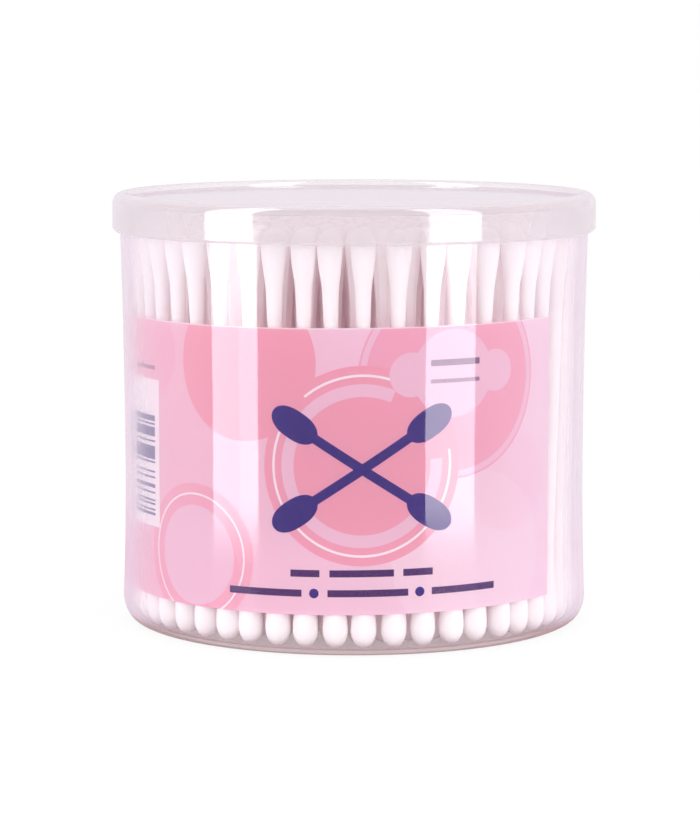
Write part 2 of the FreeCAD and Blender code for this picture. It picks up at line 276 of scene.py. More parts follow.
@dataclass(frozen=True)
class ThinPlastic:
    """Thin moulded polypropylene: clear gloss over a milky haze that lets light through."""

    name: str
    haze: float
    haze_build_up: float
    tint: Colour
    clear: Colour
    gloss_roughness: float
    haze_spread: float = 0.3
    least_facing: float = 0.05
    flow_scale: float = 90.0
    cloud_scale: float = 28.0
    cloud_lift: float = 1.03
    gloss_tint: Colour = (0.940, 0.915, 0.940)
    mirror_index: float = 1.6
    frost_roughness: float = 0.18
    frost_cover: float = 0.85
    frost_top: float = 0.0
    # Near the foot the haze thickens and takes a darker mauve tint: painted shade of the thick
    # base, over its frosted look.
    foot_haze_and_shade: float = 0.0
    foot_shade_tint: Colour = (0.80, 0.71, 0.72)
    foot_top: float = 2.3 * MM

    def haze_share(self, bench: NodeBench, flow: Socket) -> Socket:
        """Share of light that the milky film stops, more where it is crossed at a slant.

        Args:
            bench: The material's node bench.
            flow: Soft noise that makes the haze uneven.

        Returns:
            The share, from 0 to 1.
        """
        facing = bench.add("ShaderNodeLayerWeight")
        facing.inputs[0].default_value = 0.5
        square = bench.math("SUBTRACT", 1.0, facing.outputs["Facing"])
        square = bench.math("MAXIMUM", square, self.least_facing)
        least = (1.0 - self.haze_spread / 2) * self.haze
        through = bench.math("MULTIPLY_ADD", flow, -self.haze_spread * self.haze, 1.0 - least)
        left = bench.math("POWER", through, bench.math("POWER", square, -self.haze_build_up))
        return bench.math("SUBTRACT", 1.0, left)

    def material(self) -> bpy.types.Material:
        """Build the plastic's node tree.

        Returns:
            The finished material.
        """
        bench = NodeBench(self.name)
        place = bench.place()
        flow = bench.noise(self.flow_scale, 3.0, place)
        ripple = bench.bump(flow, 0.05, 0.3 * MM)
        through = bench.add("ShaderNodeBsdfTransparent")
        through.inputs[0].default_value = linear(self.clear)
        cloud = bench.noise(self.cloud_scale, 2.0, place)
        paler = tuple(min(1.0, channel * self.cloud_lift) for channel in self.tint)
        colour = bench.mix(cloud, linear(self.tint), linear(paler))
        share = self.haze_share(bench, flow)
        side = bench.add("ShaderNodeNewGeometry")
        glossy = bench.math("SUBTRACT", 1.0, side.outputs["Backfacing"])
        # Painted shade: towards the foot the film darkens to the mauve foot tint, thickens and
        # loses its gloss.
        if self.foot_haze_and_shade:
            low = bench.fade_down(place, self.foot_top)
            colour = bench.mix(low, colour, linear(self.foot_shade_tint))
            share = bench.math("MAXIMUM", share, bench.math("MULTIPLY", low, self.foot_haze_and_shade))
            glossy = bench.math("MULTIPLY", glossy, bench.math("SUBTRACT", 1.0, low))
        body = bench.add("ShaderNodeBsdfDiffuse")
        bench.feed(colour, body.inputs["Color"])
        glow = bench.add("ShaderNodeBsdfTranslucent")
        bench.feed(colour, glow.inputs[0])
        milk = bench.mix_shader(0.5, body.outputs[0], glow.outputs[0])
        film = bench.mix_shader(share, through.outputs[0], milk)
        gloss = bench.add("ShaderNodeBsdfGlossy")
        gloss.inputs["Color"].default_value = linear(self.gloss_tint)
        gloss.inputs["Roughness"].default_value = self.gloss_roughness
        if self.frost_top:
            frost = bench.fade_down(place, self.frost_top)
            rise = self.frost_roughness - self.gloss_roughness
            rough = bench.math("MULTIPLY_ADD", frost, rise, self.gloss_roughness)
            bench.join(rough, gloss.inputs["Roughness"])
            bare = bench.math("MULTIPLY_ADD", frost, -self.frost_cover, 1.0)
            glossy = bench.math("MULTIPLY", glossy, bare)
        bench.join(ripple, gloss.inputs["Normal"])
        fresnel = bench.add("ShaderNodeFresnel")
        fresnel.inputs["IOR"].default_value = self.mirror_index
        shine = bench.math("MULTIPLY", fresnel.outputs[0], glossy)
        return bench.finish(bench.mix_shader(shine, film, gloss.outputs[0]))


@dataclass(frozen=True)
class PlainPaper:
    """Unprinted white paper, of the strip's back or of a rolled stick."""

    name: str
    colour: Colour
    grain: float
    shade: float = 0.98
    glow: float = 0.0

    def material(self) -> bpy.types.Material:
        """Build the paper's node tree.

        Returns:
            The finished material.
        """
        bench = NodeBench(self.name)
        place = bench.place()
        fibres = bench.noise(self.grain, 4.0, place, 0.6)
        darker = tuple(channel * self.shade for channel in self.colour)
        sheet = bench.add("ShaderNodeBsdfPrincipled")
        sheet.inputs["Roughness"].default_value = 0.8
        colour = bench.mix(fibres, linear(self.colour), linear(darker))
        bench.feed(colour, sheet.inputs["Base Color"])
        bench.join(bench.bump(fibres, 0.3, 0.03 * MM), sheet.inputs["Normal"])
        if not self.glow:
            return bench.finish(sheet.outputs[0])
        glow = bench.add("ShaderNodeBsdfTranslucent")
        glow.inputs[0].default_value = linear(self.colour)
        return bench.finish(bench.mix_shader(self.glow, sheet.outputs[0], glow.outputs[0]))


@dataclass(frozen=True)
class WoundCotton:
    """Bleached cotton wound on a stick: soft, matte, with fibres round the tip."""

    name: str
    colour: Colour = (0.990, 0.974, 0.978)
    shade: float = 0.985
    fluff_scale: float = 900.0
    lump_scale: float = 260.0
    sheen: float = 0.25

    def material(self) -> bpy.types.Material:
        """Build the cotton's node tree.

        Returns:
            The finished material.
        """
        bench = NodeBench(self.name)
        place = bench.place()
        fluff = bench.noise(self.fluff_scale, 4.0, place, 0.65)
        lumps = bench.noise(self.lump_scale, 2.0, place)
        height = bench.math("MULTIPLY_ADD", lumps, 0.6, fluff)
        darker = tuple(channel * self.shade for channel in self.colour)
        cotton = bench.add("ShaderNodeBsdfPrincipled")
        cotton.inputs["Roughness"].default_value = 0.95
        cotton.inputs["Specular IOR Level"].default_value = 0.15
        cotton.inputs["Sheen Weight"].default_value = self.sheen
        cotton.inputs["Sheen Roughness"].default_value = 0.6
        colour = bench.mix(fluff, linear(darker), linear(self.colour))
        bench.feed(colour, cotton.inputs["Base Color"])
        bench.join(bench.bump(height, 0.5, 0.08 * MM), cotton.inputs["Normal"])
        return bench.finish(cotton.outputs[0])


class PrintBench(NodeBench):
    """A node tree that paints simple shapes on the strip, placed in its own millimetres."""

    GROUND_FROM = -40.0
    GROUND_TO = 35.0

    def __init__(self, name: str, uv_map: str) -> None:
        """Start with the ground colour.

        Args:
            name: The material's name.
            uv_map: UV map whose U runs along the strip and V up it.
        """
        super().__init__(name)
        uv = self.add("ShaderNodeUVMap", uv_map=uv_map)
        scaled = self.add("ShaderNodeVectorMath", operation="SCALE")
        self.join(uv.outputs[0], scaled.inputs[0])
        scaled.inputs["Scale"].default_value = STRIP_UV_MM
        self.point = scaled.outputs[0]
        split = self.add("ShaderNodeSeparateXYZ")
        self.join(self.point, split.inputs[0])
        self.along = split.outputs[0]
        self.up = split.outputs[1]
        ramp = self.add("ShaderNodeMapRange")
        self.join(self.along, ramp.inputs["Value"])
        ramp.inputs["From Min"].default_value = self.GROUND_FROM
        ramp.inputs["From Max"].default_value = self.GROUND_TO
        deep = linear(Shade.GROUND_DEEP.value)
        self.colour = self.mix(ramp.outputs[0], deep, linear(Shade.GROUND.value))

    def reach(self, centre: Spot) -> Socket:
        """Measure the distance from a point of the strip.

        Args:
            centre: The point.

        Returns:
            The distance, in millimetres.
        """
        node = self.add("ShaderNodeVectorMath", operation="DISTANCE")
        self.join(self.point, node.inputs[0])
        node.inputs[1].default_value = (centre[0], centre[1], 0.0)
        return node.outputs["Value"]

    def paint(self, mask: Socket, shade: Shade, cover: float = 1.0) -> None:
        """Lay a colour over what is there.

        Args:
            mask: 1 where the colour goes.
            shade: The colour.
            cover: How much of it covers what is there.
        """
        if cover < 1.0:
            mask = self.math("MULTIPLY", mask, cover)
        self.colour = self.mix(mask, self.colour, linear(shade.value))

    def disc(self, centre: Spot, radius: float) -> Socket:
        """Mask of a disc."""
        return self.math("LESS_THAN", self.reach(centre), radius)

    def ring(self, centre: Spot, inner: float, outer: float) -> Socket:
        """Mask of a ring between two radii."""
        return self.math("COMPARE", self.reach(centre), (inner + outer) / 2, (outer - inner) / 2)

    def bar(self, middle: Spot, width: float, height: float) -> Socket:
        """Mask of an upright rectangle.

        Args:
            middle: Its centre.
            width: Its size along the strip.
            height: Its size up the strip.

        Returns:
            The mask.
        """
        across = self.math("COMPARE", self.along, middle[0], width / 2)
        upward = self.math("COMPARE", self.up, middle[1], height / 2)
        return self.math("MULTIPLY", across, upward)

    def outside_wedge(self, centre: Spot, start: float, end: float) -> Socket:
        """Mask of everything but a wedge.

        Args:
            centre: The wedge's point.
            start: Its first angle, in degrees.
            end: Its last angle.

        Returns:
            The mask.
        """
        across = self.math("SUBTRACT", self.along, centre[0])
        upward = self.math("SUBTRACT", self.up, centre[1])
        angle = self.math("ARCTAN2", upward, across)
        middle = math.radians((start + end) / 2)
        half = math.radians((end - start) / 2)
        return self.math("SUBTRACT", 1.0, self.math("COMPARE", angle, middle, half))

    def swab(self, centre: Spot, turn: float, length: float, head: Spot, stick: float) -> Socket:
        """Mask of a plain drawn swab.

        Args:
            centre: Its middle.
            turn: Its slant, in degrees.
            length: Between the middles of its heads.
            head: Half length and half width of a head.
            stick: Width of the stick.

        Returns:
            The mask.
        """
        turned = self.add("ShaderNodeMapping", vector_type="TEXTURE")
        self.join(self.point, turned.inputs[0])
        turned.inputs["Location"].default_value = (centre[0], centre[1], 0.0)
        turned.inputs["Rotation"].default_value = (0.0, 0.0, math.radians(turn))
        split = self.add("ShaderNodeSeparateXYZ")
        self.join(turned.outputs[0], split.inputs[0])
        far = self.math("ABSOLUTE", split.outputs[0])
        shaft = self.math("MULTIPLY", self.math("LESS_THAN", far, length / 2),
                          self.math("COMPARE", split.outputs[1], 0.0, stick / 2))
        lengthways = self.math("DIVIDE", self.math("SUBTRACT", far, length / 2), head[0])
        sideways = self.math("DIVIDE", split.outputs[1], head[1])
        lengthways = self.math("POWER", self.math("ABSOLUTE", lengthways), 2.5)
        sideways = self.math("POWER", self.math("ABSOLUTE", sideways), 2.0)
        knob = self.math("LESS_THAN", self.math("ADD", lengthways, sideways), 1.0)
        return self.math("MAXIMUM", shaft, knob)


@dataclass(frozen=True)
class StripPrint:
    """The strip's print: overlapping discs and rings, crossed swabs, rules and bars.

    Places are millimetres along the strip from the front and up from its lower edge.
    """

    name: str
    uv_map: str
    target: Spot = (1.4, 26.1)
    upper_right: Spot = (18.0, 40.8)
    lower_left: Spot = (-31.1, 9.1)
    badge: Spot = (17.9, 41.8)
    rule_height: float = 1.25
    swab_drop: float = 0.6
    swab_turn: float = 33.0
    swab_length: float = 28.5
    swab_head: Spot = (4.6, 2.5)
    swab_stick: float = 1.7
    bar_pitch: float = 2.9
    bar_share: float = 0.52
    # Height above which the top edge is painted white: the paper's white cut edge, with a painted
    # highlight where it catches the light.
    white_edge_and_highlight: float = 49.9
    glow: float = 0.25

    def discs(self, bench: PrintBench) -> None:
        """Paint the large discs and rings, from the lowest to the top one.

        Args:
            bench: The print's node bench.
        """
        bench.paint(bench.disc((-44.6, 44.4), 8.5), Shade.ROSE_SOFT, 0.45)
        bench.paint(bench.disc((22.0, 9.0), 15.5), Shade.WHITE, 0.18)
        bench.paint(bench.disc((30.0, 22.0), 9.0), Shade.ROSE_SOFT, 0.12)
        bench.paint(bench.disc((-20.3, 43.7), 13.6), Shade.ROSE)
        bench.paint(bench.disc(self.upper_right, 17.5), Shade.ROSE_SOFT)
        bench.paint(bench.ring(self.upper_right, 16.1, 17.15), Shade.BLUSH)
        bench.paint(bench.disc(self.target, 17.5), Shade.ROSE)
        halo = bench.math("MULTIPLY", bench.ring(self.target, 12.1, 14.3),
                          bench.outside_wedge(self.target, 4.0, 66.0))
        bench.paint(halo, Shade.BLUSH)
        thread = bench.math("MULTIPLY", bench.ring(self.target, 15.55, 16.0),
                            bench.outside_wedge(self.target, 9.0, 72.0))
        thread = bench.math("MULTIPLY", thread, bench.outside_wedge(self.target, 130.0, 158.0))
        bench.paint(thread, Shade.WHITE)
        bench.paint(bench.disc(self.lower_left, 12.8), Shade.ROSE_SOFT)
        bench.paint(bench.disc(self.lower_left, 8.9), Shade.BLUSH)
        bench.paint(bench.ring(self.lower_left, 10.75, 11.1), Shade.WHITE)

    def badge_cloud(self, bench: PrintBench) -> None:
        """Paint the pale badge of three overlapping discs, with two plain rules.

        Args:
            bench: The print's node bench.
        """
        across, up = self.badge
        lobes = bench.disc(self.badge, 7.7)
        for side, size in ((-7.9, 3.9), (8.6, 3.7)):
            lobes = bench.math("MAXIMUM", lobes, bench.disc((across + side, up), size))
        bench.paint(lobes, Shade.BLUSH)
        bench.paint(bench.bar((across + 0.4, up + 1.9), 9.5, 1.1), Shade.PLUM, 0.8)
        bench.paint(bench.bar((across + 0.4, up - 1.3), 9.5, 0.7), Shade.PLUM, 0.7)

    def rules(self, bench: PrintBench) -> None:
        """Paint the two rows of short rules and the two dots between them.

        Args:
            bench: The print's node bench.
        """
        upper_row = ((-8.7, 5.2), (1.3, 11.3), (11.3, 5.4))
        lower_row = ((-16.2, 13.8), (2.4, 14.2), (20.1, 12.6))
        for row, height in ((upper_row, 7.3), (lower_row, 3.8)):
            for middle, width in row:
                bench.paint(bench.bar((middle, height), width, self.rule_height), Shade.PLUM)
        for dot in (-7.1, 11.6):
            bench.paint(bench.disc((dot, 3.8), 0.85), Shade.NAVY)

    def bar_block(self, bench: PrintBench) -> None:
        """Paint the white block of uneven bars, which stand for nothing.

        Args:
            bench: The print's node bench.
        """
        bench.paint(bench.bar((-48.0, 26.0), 12.8, 26.6), Shade.WHITE)
        rows = bench.math("FLOOR", bench.math("MULTIPLY", bench.up, self.bar_pitch))
        chance = bench.add("ShaderNodeTexWhiteNoise", noise_dimensions="1D")
        bench.join(rows, chance.inputs["W"])
        dark = bench.math("GREATER_THAN", chance.outputs[0], self.bar_share)
        block = bench.bar((-48.0, 24.9), 9.6, 20.5)
        bench.paint(bench.math("MULTIPLY", dark, block), Shade.NAVY, 0.9)
        bench.paint(bench.bar((-47.6, 41.4), 9.0, 0.7), Shade.PLUM, 0.6)

    def crossed_swabs(self, bench: PrintBench) -> None:
        """Paint the pictogram of two crossed swabs in the middle of the target.

        Args:
            bench: The print's node bench.
        """
        centre = (self.target[0], self.target[1] - self.swab_drop)
        for turn in (self.swab_turn, -self.swab_turn):
            mask = bench.swab(centre, turn, self.swab_length, self.swab_head, self.swab_stick)
            bench.paint(mask, Shade.NAVY)

    def material(self) -> bpy.types.Material:
        """Build the print's node tree.

        Returns:
            The finished material.
        """
        bench = PrintBench(self.name, self.uv_map)
        self.discs(bench)
        self.badge_cloud(bench)
        self.rules(bench)
        self.bar_block(bench)
        self.crossed_swabs(bench)
        # Painted highlight: the white band along the top edge stands for the paper's white cut
        # edge catching the light.
        bench.paint(bench.math("GREATER_THAN", bench.up, self.white_edge_and_highlight), Shade.WHITE, 0.7)
        place = bench.place()
        grain = bench.noise(1500.0, 3.0, place)
        mottled = bench.math("MULTIPLY", grain, 0.06)
        colour = bench.mix(mottled, bench.colour, linear(Shade.ROSE_SOFT.value))
        sheet = bench.add("ShaderNodeBsdfPrincipled")
        sheet.inputs["Roughness"].default_value = 0.5
        sheet.inputs["Specular IOR Level"].default_value = 0.1
        bench.feed(colour, sheet.inputs["Base Color"])
        bench.join(bench.bump(grain, 0.15, 0.02 * MM), sheet.inputs["Normal"])
        glow = bench.add("ShaderNodeBsdfTranslucent")
        bench.feed(colour, glow.inputs[0])
        return bench.finish(bench.mix_shader(self.glow, sheet.outputs[0], glow.outputs[0]))


def arc(centre: Spot, radius: float, start: float, end: float) -> Outline:
    """Points along an arc of a half section.

    Args:
        centre: Radius and height of its centre.
        radius: The arc's radius.
        start: Angle of its first point, in degrees.
        end: Angle of its last point.

    Returns:
        The points, ends included.
    """
    points = []
    for step in range(ROUND_STEPS + 1):
        angle = math.radians(start + (end - start) * step / ROUND_STEPS)
        points.append((centre[0] + radius * math.cos(angle),
                       centre[1] + radius * math.sin(angle)))
    return points


def link_mesh(bm: bmesh.types.BMesh, name: str) -> bpy.types.Object:
    """Turn a bmesh into a smooth-shaded object at the origin.

    Args:
        bm: The finished bmesh, which is freed.
        name: The piece's name.

    Returns:
        The linked object.
    """
    for edge in bm.edges:
        if len(edge.link_faces) == 2:
            edge.smooth = edge.calc_face_angle(0.0) < SHARP_ANGLE
    for face in bm.faces:
        face.smooth = True
    mesh = bpy.data.meshes.new(name)
    bm.to_mesh(mesh)
    bm.free()
    piece = bpy.data.objects.new(name, mesh)
    bpy.context.scene.collection.objects.link(piece)
    return piece


def turned(outline: Outline, steps: int = TURN_STEPS) -> bmesh.types.BMesh:
    """Spin a half section once round the upright axis.

    Args:
        outline: Points of radius and height, from axis to axis.
        steps: Number of flats round the axis.

    Returns:
        A closed bmesh with its faces pointing outwards.
    """
    bm = bmesh.new()
    verts = [bm.verts.new((radius, 0.0, height)) for radius, height in outline]
    edges = [bm.edges.new(pair) for pair in zip(verts, verts[1:])]
    bmesh.ops.spin(bm, geom=verts + edges, cent=(0, 0, 0), axis=(0, 0, 1), dvec=(0, 0, 0),
                   angle=FULL_TURN, steps=steps, use_merge=True)
    bmesh.ops.remove_doubles(bm, verts=bm.verts, dist=SPIN_MERGE)
    bmesh.ops.recalc_face_normals(bm, faces=bm.faces)
    return bm


@dataclass
class Cup:
    """The clear cup: foot ring, rounded corner, slightly waisted wall and beaded rim."""

    finish: ThinPlastic
    wall: float = 0.8 * MM
    base_radius: float = 42.85 * MM
    waist_inset: float = 0.5 * MM
    waist_height: float = 27.0 * MM
    corner: float = 3.0 * MM
    corner_rise: float = 4.6 * MM
    foot_ring: float = 2.0 * MM
    foot_height: float = 0.4 * MM
    foot_slope: float = 0.8 * MM
    flare: float = 0.75 * MM
    rim_height: float = 1.0 * MM
    rim_overhang: float = 0.2 * MM
    rim_round: float = 0.25 * MM

    def corner_line(self, inset: float) -> Outline:
        """Rounded corner from the foot ring up to the wall, taller than it is wide.

        Args:
            inset: How far it lies inside the outer face.

        Returns:
            The points, ends included.
        """
        points = []
        for step in range(ROUND_STEPS + 1):
            angle = math.radians(90.0 * step / ROUND_STEPS)
            across = (self.corner - inset) * math.sin(angle)
            drop = (self.corner_rise - inset) * math.cos(angle)
            points.append((self.base_radius - self.corner + across, self.corner_rise - drop))
        return points

    def wall_line(self, top: float) -> Outline:
        """Outer line of the wall, from above the corner to below the bead.

        Args:
            top: Height of its last point.

        Returns:
            The points, from the corner up.
        """
        waist = self.base_radius - self.waist_inset
        points = []
        for step in range(WALL_STEPS + 1):
            height = self.corner_rise + (top - self.corner_rise) * step / WALL_STEPS
            if height < self.waist_height:
                share = (self.waist_height - height) / (self.waist_height - self.corner_rise)
                points.append((waist + self.waist_inset * share ** 2, height))
            else:
                share = (height - self.waist_height) / (top - self.waist_height)
                points.append((waist + self.flare * share ** 2, height))
        return points

    def outline(self, height: float) -> Outline:
        """Half section of the cup.

        Args:
            height: The cup's height.

        Returns:
            The section, from the axis below the floor to the axis above it.
        """
        foot_outer = self.base_radius - self.corner
        foot_inner = foot_outer - self.foot_ring
        floor_edge = foot_inner - self.foot_slope
        top = height - self.rim_height - self.rim_round
        wall = self.wall_line(top)
        mouth = wall[-1][0]
        bead = mouth + self.rim_overhang
        under = [(0.0, self.foot_height), (floor_edge, self.foot_height), (foot_inner, 0.0)]
        corner_out = self.corner_line(0.0)[:-1]
        rim = [(bead, height - self.rim_height), (bead, height - self.rim_round),
               (bead - self.rim_round, height), (mouth - self.wall, height)]
        inside = [(radius - self.wall, level) for radius, level in reversed(wall)]
        corner_in = self.corner_line(self.wall)[-2::-1]
        floor = [(foot_inner, self.wall), (floor_edge, self.foot_height + self.wall),
                 (0.0, self.foot_height + self.wall)]
        return under + corner_out + wall + rim + inside + corner_in + floor

    def build(self) -> bpy.types.Object:
        """Turn the cup, dress it and put it on its body.

        Returns:
            The cup.
        """
        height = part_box("tub")[1][2]
        piece = link_mesh(turned(self.outline(height)), "clear_cup")
        piece.data.materials.append(self.finish.material())
        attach(piece, CUP_BODY)
        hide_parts("tub")
        return piece


@dataclass
class Lid:
    """The milky lid: flat top inside a rounded stacking ridge, and a skirt with a lip."""

    finish: ThinPlastic
    gap: float = 0.35 * MM
    lip_room: float = 0.15 * MM
    lip_height: float = 1.0 * MM
    wall: float = 0.7 * MM
    panel: float = 1.0 * MM
    ridge: float = 1.0 * MM
    shoulder: float = 1.95 * MM
    bevel: float = 0.55 * MM

    def outline(self, low: float, top: float, radius: float) -> Outline:
        """Half section of the lid.

        Args:
            low: Height of the skirt's lower edge.
            top: Height of the ridge.
            radius: Outer radius of the skirt.

        Returns:
            The section, from the axis below the panel to the axis above it.
        """
        inner = radius - self.wall
        lip = inner - self.gap + self.lip_room
        seat = top - self.ridge - self.panel
        crest = radius - self.shoulder
        lip_top = low + self.lip_height
        under = [(0.0, seat), (inner, seat), (inner, lip_top + self.gap), (lip, lip_top),
                 (lip, low), (radius - self.bevel, low), (radius, low + self.bevel)]
        outer = arc((crest, top - self.shoulder), self.shoulder, 0, 90)
        inner_side = arc((crest, top - self.ridge), self.ridge, 90, 180)[1:]
        return under + outer + inner_side + [(0.0, top - self.ridge)]

    def build(self) -> bpy.types.Object:
        """Turn the lid, dress it and put it on its body.

        Returns:
            The lid.
        """
        low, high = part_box("lid")
        radius = (high[0] - low[0]) / 2
        piece = link_mesh(turned(self.outline(low[2], high[2], radius)), "milky_lid")
        piece.data.materials.append(self.finish.material())
        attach(piece, LID_BODY)
        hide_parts("lid")
        return piece


@dataclass
class Strip:
    """The printed paper strip that stands inside the wall."""

    face: StripPrint
    back: PlainPaper
    paper: float = 0.15 * MM
    radius: float = 41.45 * MM
    width: float = 50.1 * MM
    bottom: float = 7.35 * MM
    skew: float = 0.57
    span: float = 206.0
    right_end: float = 57.0
    columns: int = 140
    rows: int = 10

    def back_point(self, angle: float, share: float) -> Vector:
        """A point of the strip's bare back.

        Args:
            angle: From the front, in radians, positive to the right.
            share: From 0 at the lower edge to 1 at the upper one.

        Returns:
            The point, in metres.
        """
        radius = self.radius - self.paper
        across = radius * math.sin(angle)
        rise = across * math.tan(math.radians(self.skew))
        return Vector((across, -radius * math.cos(angle),
                       self.bottom + self.width * share + rise))

    def build(self) -> bpy.types.Object:
        """Bend a flat grid round the wall, give it its thickness, print it and place it.

        Returns:
            The strip.
        """
        bm = bmesh.new()
        uv = bm.loops.layers.uv.new(self.face.uv_map)
        bmesh.ops.create_grid(bm, x_segments=self.columns, y_segments=self.rows, size=0.5)
        right = math.radians(self.right_end)
        span = math.radians(self.span)
        for face in bm.faces:
            for loop in face.loops:
                angle = right + (loop.vert.co.x - 0.5) * span
                along = angle * self.radius / MM
                up = (loop.vert.co.y + 0.5) * self.width / MM
                loop[uv].uv = (along / STRIP_UV_MM, up / STRIP_UV_MM)
        for vert in bm.verts:
            angle = right + (vert.co.x - 0.5) * span
            vert.co = self.back_point(angle, vert.co.y + 0.5)
        bmesh.ops.recalc_face_normals(bm, faces=bm.faces)
        bmesh.ops.solidify(bm, geom=bm.faces[:], thickness=self.paper)
        bmesh.ops.recalc_face_normals(bm, faces=bm.faces)
        for face in bm.faces:
            middle = face.calc_center_median()
            outward = Vector((middle.x, middle.y, 0.0)).normalized()
            face.material_index = 0 if face.normal.dot(outward) > 0.5 else 1
        reach = [math.hypot(vert.co.x, vert.co.y) / MM for vert in bm.verts]
        log.info("strip from radius %.3f to %.3f mm", min(reach), max(reach))
        piece = link_mesh(bm, "printed_strip")
        piece.data.materials.append(self.face.material())
        piece.data.materials.append(self.back.material())
        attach(piece, CUP_BODY)
        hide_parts("label")
        return piece


@dataclass(frozen=True)
class SwabAxis:
    """Where one swab stands: the lower end of its stick, its direction and its length."""

    foot: Vector
    along: Vector
    stick: float


def stick_axes(node: str) -> list[SwabAxis]:
    """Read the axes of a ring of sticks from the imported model.

    Args:
        node: The ring's node of sticks.

    Returns:
        One axis for each stick.
    """
    bm = bmesh.new()
    bm.from_mesh(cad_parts[node].data)
    bmesh.ops.remove_doubles(bm, verts=bm.verts, dist=STICK_MERGE)
    axes = []
    left = set(bm.verts)
    for start in bm.verts:
        if start not in left:
            continue
        island = [start]
        left.discard(start)
        for vert in island:
            for edge in vert.link_edges:
                other = edge.other_vert(vert)
                if other in left:
                    left.discard(other)
                    island.append(other)
        heights = [vert.co.z for vert in island]
        middle = (min(heights) + max(heights)) / 2
        lower_half = [vert for vert in island if vert.co.z < middle]
        upper_half = [vert for vert in island if vert.co.z >= middle]
        ends = []
        for half in (lower_half, upper_half):
            ends.append(sum((vert.co for vert in half), Vector()) / len(half))
        line = ends[1] - ends[0]
        axes.append(SwabAxis(ends[0], line.normalized(), line.length))
    bm.free()
    return axes


@dataclass(frozen=True)
class TipDetail:
    """How finely a cotton tip is divided: round it, over its nose and along its taper."""

    flats: int
    nose_steps: int
    taper_steps: int


FRONT_ROW = TipDetail(flats=16, nose_steps=8, taper_steps=6)
INNER_ROWS = TipDetail(flats=8, nose_steps=3, taper_steps=2)


